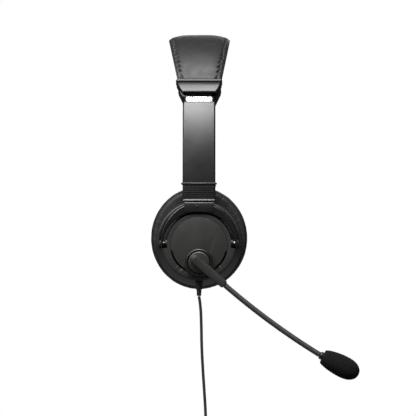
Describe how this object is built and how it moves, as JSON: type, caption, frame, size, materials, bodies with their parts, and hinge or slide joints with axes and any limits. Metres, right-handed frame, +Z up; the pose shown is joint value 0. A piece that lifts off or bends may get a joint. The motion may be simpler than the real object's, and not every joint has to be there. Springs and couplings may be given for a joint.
{
  "type": "office headset",
  "caption": "Over-the-head office headset with padded band, sliding arms, tilting oval-cushioned ear cups, turning boom microphone and cable with USB plug.",
  "frame": {"origin": "underside of the head pad at the crown, where the head carries the band", "axes": "+Z up, +X where the wearer faces, the microphone cup at -Y"},
  "size_m": [0.1571, 0.1848, 0.3983],
  "materials": {
    "satin_plastic": "satin moulded plastic with a fine texture",
    "face_plastic": "fine matt moulded plastic",
    "inner_plastic": "plain matt",
    "leatherette": "soft coated leatherette, fine grain",
    "polished_steel": "polished spring steel",
    "screw_steel": "plated",
    "gooseneck_rubber": "satin ribbed sleeve",
    "windscreen_foam": "open-cell foam, fully matt",
    "cable_rubber": "soft matt",
    "speaker_cloth": "thin acoustic cloth",
    "cone_film": "thin film",
    "circuit_green": "solder mask"
  },
  "bodies": {
    "headband": {"band_spring": "polished_steel", "head_pad_outer": "leatherette", "head_pad_inner": "leatherette", "right_cap_outer": "satin_plastic", "right_cap_inner": "satin_plastic", "right_cap_screw": "screw_steel", "left_cap_outer": "satin_plastic", "left_cap_inner": "satin_plastic", "left_cap_screw": "screw_steel"},
    "arm_right": {"right_sleeve_outer": "satin_plastic", "right_sleeve_inner": "satin_plastic", "right_detent_spring": "screw_steel", "right_sleeve_screw": "screw_steel", "right_yoke": "satin_plastic", "right_pivot_pin_front": "screw_steel", "right_pivot_pin_rear": "screw_steel"},
    "arm_left": {"left_sleeve_outer": "satin_plastic", "left_sleeve_inner": "satin_plastic", "left_detent_spring": "screw_steel", "left_sleeve_screw": "screw_steel", "left_yoke": "satin_plastic", "left_pivot_pin_front": "screw_steel", "left_pivot_pin_rear": "screw_steel"},
    "cup_right": {"right_cup_shell": "face_plastic", "right_face_plate": "face_plastic", "right_baffle": "inner_plastic", "right_cushion_ring": "inner_plastic", "right_speaker_cloth": "speaker_cloth", "right_driver_frame": "inner_plastic", "right_driver_cone": "cone_film", "right_ear_cushion": "leatherette", "boom_hub": "satin_plastic", "circuit_board": "circuit_green", "strain_relief": "cable_rubber", "cord_tube": "cable_rubber", "cord_hank": "cable_rubber", "hank_tie": "cable_rubber", "usb_plug_body": "satin_plastic", "usb_plug_shell": "polished_steel"},
    "cup_left": {"left_cup_shell": "face_plastic", "left_face_plate": "face_plastic", "left_baffle": "inner_plastic", "left_cushion_ring": "inner_plastic", "left_speaker_cloth": "speaker_cloth", "left_driver_frame": "inner_plastic", "left_driver_cone": "cone_film", "left_ear_cushion": "leatherette"},
    "boom": {"boom_turret": "satin_plastic", "boom_washer": "screw_steel", "boom_screw": "screw_steel", "boom_arm": "satin_plastic", "gooseneck_base": "gooseneck_rubber"},
    "boom_tip": {"gooseneck_tip": "gooseneck_rubber", "mic_housing": "satin_plastic", "mic_capsule": "screw_steel", "mic_foam": "windscreen_foam"}
  },
  "joints": [
    {"name": "right_arm_slide", "type": "hinge", "parent": "headband", "child": "arm_right", "pos_m": [0, 0.10007, -0.1171], "axis": [1, 0, 0], "range_deg": [0, 9.5]},
    {"name": "left_arm_slide", "type": "hinge", "parent": "headband", "child": "arm_left", "pos_m": [0, -0.10007, -0.1171], "axis": [-1, 0, 0], "range_deg": [0, 9.5]},
    {"name": "right_cup_tilt", "type": "hinge", "parent": "arm_right", "child": "cup_right", "pos_m": [0, -0.079, -0.1488], "axis": [1, 0, 0], "range_deg": [-8, 8]},
    {"name": "left_cup_tilt", "type": "hinge", "parent": "arm_left", "child": "cup_left", "pos_m": [0, 0.079, -0.1488], "axis": [-1, 0, 0], "range_deg": [-8, 8]},
    {"name": "boom_turn", "type": "hinge", "parent": "cup_right", "child": "boom", "pos_m": [0, -0.0916, -0.1632], "axis": [0, -1, 0], "range_deg": [-8, 262]},
    {"name": "boom_bend", "type": "hinge", "parent": "boom", "child": "boom_tip", "pos_m": [0.05337, -0.0916, -0.20721], "axis": [0.592, 0, 0.8059], "range_deg": [-10, 30]}
  ]
}
